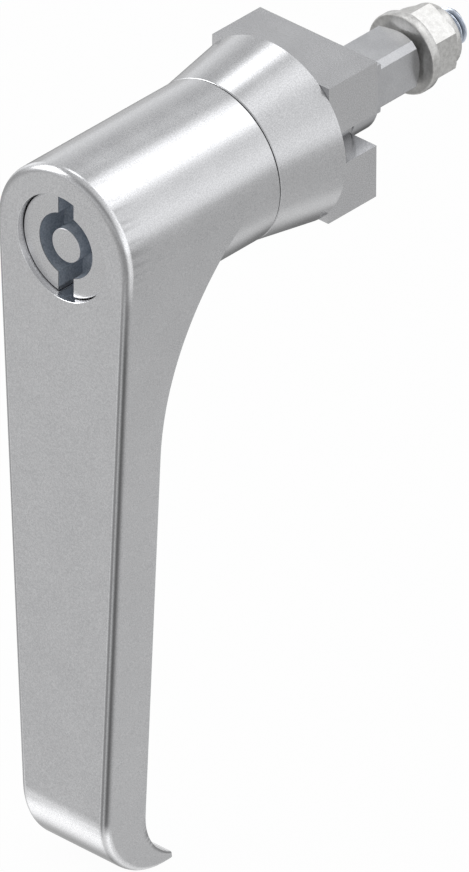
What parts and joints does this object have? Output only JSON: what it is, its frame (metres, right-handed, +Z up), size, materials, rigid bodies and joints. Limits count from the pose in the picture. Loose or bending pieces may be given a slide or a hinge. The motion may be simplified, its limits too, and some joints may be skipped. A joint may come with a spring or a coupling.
{
  "type": "l-handle latch",
  "caption": "Metal L-handle quarter-turn latch with a key lock in its neck, a square panel fixing block and a square spindle with a flange nut.",
  "frame": {"origin": "on the spindle's axis, in the plane of the cone's rear face, where the panel's front lies", "axes": "+Y along the spindle from the handle towards the back of the panel, +Z up, +X to the right seen from the front"},
  "size_m": [0.0286, 0.0815, 0.119],
  "materials": {
    "satin_casting": "fine satin chrome",
    "lock_metal": "satin nickel",
    "zinc_steel": "zinc plated",
    "nut_zinc": "mottled zinc",
    "spring_steel": "drawn wire",
    "seal_rubber": "matt",
    "washer_plastic": "natural"
  },
  "bodies": {
    "fixed": {"housing": "satin_casting", "thrust_washer": "washer_plastic"},
    "turning_handle": {"handle": "satin_casting", "spindle": "zinc_steel", "flange_nut": "nut_zinc", "spindle_screw": "zinc_steel", "screw_washer": "zinc_steel", "stop_pin": "zinc_steel", "detent_ball": "spring_steel", "detent_spring": "spring_steel", "neck_seal": "seal_rubber", "spindle_seal": "seal_rubber", "plug_snap_ring": "spring_steel"},
    "key_plug": {"lock_plug": "lock_metal", "key_pin": "lock_metal", "lock_cam": "zinc_steel", "cam_clip": "spring_steel", "plug_seal": "seal_rubber"},
    "sliding_bolt": {"lock_bolt": "zinc_steel", "bolt_spring": "spring_steel"}
  },
  "joints": [
    {"name": "handle_turn", "type": "hinge", "parent": "fixed", "child": "turning_handle", "pos_m": [0, 0, 0], "axis": [0, 1, 0], "range_deg": [0, 90]},
    {"name": "key_turn", "type": "hinge", "parent": "turning_handle", "child": "key_plug", "pos_m": [0, 0, 0], "axis": [0, 1, 0], "range_deg": [0, 90]},
    {"name": "bolt_slide", "type": "slide", "parent": "turning_handle", "child": "sliding_bolt", "axis": [0, 1, 0], "range_m": [0, 0.003], "deforming": ["bolt_spring"]}
  ],
  "couplings": [
    {"joint": "bolt_slide", "follows": "key_turn", "m_per_rad": 0.0019099}
  ]
}
